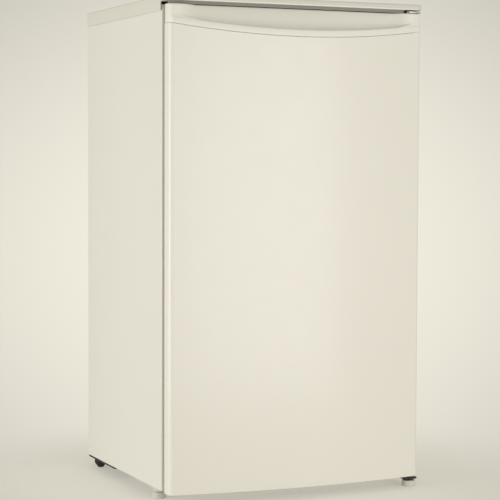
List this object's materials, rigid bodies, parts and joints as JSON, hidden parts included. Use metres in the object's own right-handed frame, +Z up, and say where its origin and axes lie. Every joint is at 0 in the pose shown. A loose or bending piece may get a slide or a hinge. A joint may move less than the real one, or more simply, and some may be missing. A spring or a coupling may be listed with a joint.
{
  "type": "mini fridge",
  "caption": "White compact refrigerator with a right-hinged bowed door, a hand scoop in its top cap, an overhanging worktop and a rear condenser.",
  "frame": {"origin": "centre of the footprint at floor level", "axes": "+Z up, the door faces -Y, the hinge side is +X"},
  "size_m": [0.464, 0.4514, 0.8247],
  "materials": {
    "cabinet_paint": "smooth white enamel, faint orange peel",
    "door_paint": "smooth white enamel, faint orange peel",
    "rear_sheet": "plain grey coated steel",
    "plated_steel": "zinc-plated steel",
    "black_steel": "black enamel",
    "rigid_foam": "closed-cell polyurethane foam",
    "liner_plastic": "vacuum-formed white liner",
    "cap_plastic": "moulded white plastic, satin",
    "worktop_plastic": "moulded off-white plastic, fine grain",
    "grey_plastic": "moulded grey plastic",
    "clear_plastic": "clear moulded plastic",
    "shelf_glass": "tempered float glass",
    "grey_rubber": "soft magnetic door seal",
    "black_rubber": "moulded rubber",
    "copper": "bare copper tube, slightly dulled",
    "evaporator_aluminium": "bare roll-bonded sheet"
  },
  "bodies": {
    "cabinet": {"left_side_panel": "cabinet_paint", "right_side_panel": "cabinet_paint", "cabinet_top_panel": "cabinet_paint", "back_panel": "rear_sheet", "base_plate": "plated_steel", "lower_front_rail": "cabinet_paint", "inner_liner": "liner_plastic", "cabinet_foam": "rigid_foam", "worktop": "worktop_plastic", "worktop_screw_1": "plated_steel", "worktop_screw_2": "plated_steel", "top_hinge_bracket": "plated_steel", "bottom_hinge_bracket": "black_steel", "top_hinge_screw_1": "plated_steel", "top_hinge_screw_2": "plated_steel", "bottom_hinge_screw_1": "plated_steel", "bottom_hinge_screw_2": "plated_steel", "front_left_foot_collar": "grey_plastic", "rear_left_foot": "black_rubber", "rear_right_foot": "black_rubber", "compressor_base": "black_steel", "cord_gland": "black_rubber", "compressor_grommet_1": "black_rubber", "compressor_grommet_2": "black_rubber", "compressor_grommet_3": "black_rubber", "compressor_grommet_4": "black_rubber", "compressor": "black_steel", "compressor_terminal_cover": "grey_plastic", "evaporation_pan": "grey_plastic", "condenser_coil": "black_steel", "condenser_left_bracket": "black_steel", "condenser_right_bracket": "black_steel", "discharge_pipe": "copper", "filter_drier": "copper", "suction_pipe": "copper", "upper_shelf_glass": "shelf_glass", "upper_shelf_trim": "liner_plastic", "lower_shelf_glass": "shelf_glass", "lower_shelf_trim": "liner_plastic", "crisper_cover": "shelf_glass", "freezer_box": "evaporator_aluminium", "thermostat_housing": "liner_plastic"},
    "door": {"door_skin": "door_paint", "door_top_cap": "cap_plastic", "door_bottom_cap": "grey_plastic", "top_hinge_bush": "grey_plastic", "bottom_hinge_bush": "grey_plastic", "door_foam": "rigid_foam", "door_liner": "liner_plastic", "door_gasket": "grey_rubber"},
    "door_bin_1": {"door_bin_1": "clear_plastic"},
    "door_bin_2": {"door_bin_2": "clear_plastic"},
    "door_bin_3": {"door_bin_3": "clear_plastic"},
    "freezer_door": {"freezer_door": "clear_plastic"},
    "drip_tray": {"drip_tray": "liner_plastic"},
    "crisper_drawer": {"crisper_drawer": "clear_plastic"},
    "thermostat_knob": {"thermostat_knob": "grey_plastic"},
    "front_left_foot": {"front_left_foot": "grey_plastic"},
    "front_right_foot": {"front_right_foot": "grey_plastic"}
  },
  "joints": [
    {"name": "door_hinge", "type": "hinge", "parent": "cabinet", "child": "door", "pos_m": [0.2175, -0.19425, 0.4145], "axis": [0, 0, 1], "range_deg": [0, 135]},
    {"name": "freezer_door_hinge", "type": "hinge", "parent": "cabinet", "child": "freezer_door", "pos_m": [0.173, -0.05725, 0.6975], "axis": [0, 0, 1], "range_deg": [0, 95]},
    {"name": "drip_tray_slide", "type": "slide", "parent": "cabinet", "child": "drip_tray", "axis": [0, -1, 0], "range_m": [0, 0.142]},
    {"name": "crisper_slide", "type": "slide", "parent": "cabinet", "child": "crisper_drawer", "axis": [0, -1, 0], "range_m": [0, 0.107]},
    {"name": "thermostat_turn", "type": "hinge", "parent": "cabinet", "child": "thermostat_knob", "pos_m": [0.1687, -0.05025, 0.575], "axis": [0, -1, 0], "range_deg": [0, 270]},
    {"name": "front_left_foot_turn", "type": "hinge", "parent": "cabinet", "child": "front_left_foot", "pos_m": [-0.215, -0.12425, 0.004], "axis": [0, 0, 1], "continuous": true},
    {"name": "front_right_foot_turn", "type": "hinge", "parent": "cabinet", "child": "front_right_foot", "pos_m": [0.2175, -0.19425, 0.004], "axis": [0, 0, 1], "continuous": true},
    {"name": "door_bin_1_lift", "type": "slide", "parent": "door", "child": "door_bin_1", "axis": [0, 0, 1], "range_m": [0, 0.03]},
    {"name": "door_bin_2_lift", "type": "slide", "parent": "door", "child": "door_bin_2", "axis": [0, 0, 1], "range_m": [0, 0.03]},
    {"name": "door_bin_3_lift", "type": "slide", "parent": "door", "child": "door_bin_3", "axis": [0, 0, 1], "range_m": [0, 0.03]}
  ],
  "couplings": [
    {"joint": "freezer_door_hinge", "follows": "door_hinge", "ratio": 0.7},
    {"joint": "drip_tray_slide", "follows": "door_hinge", "m_per_rad": 0.06},
    {"joint": "crisper_slide", "follows": "door_hinge", "m_per_rad": 0.045}
  ]
}
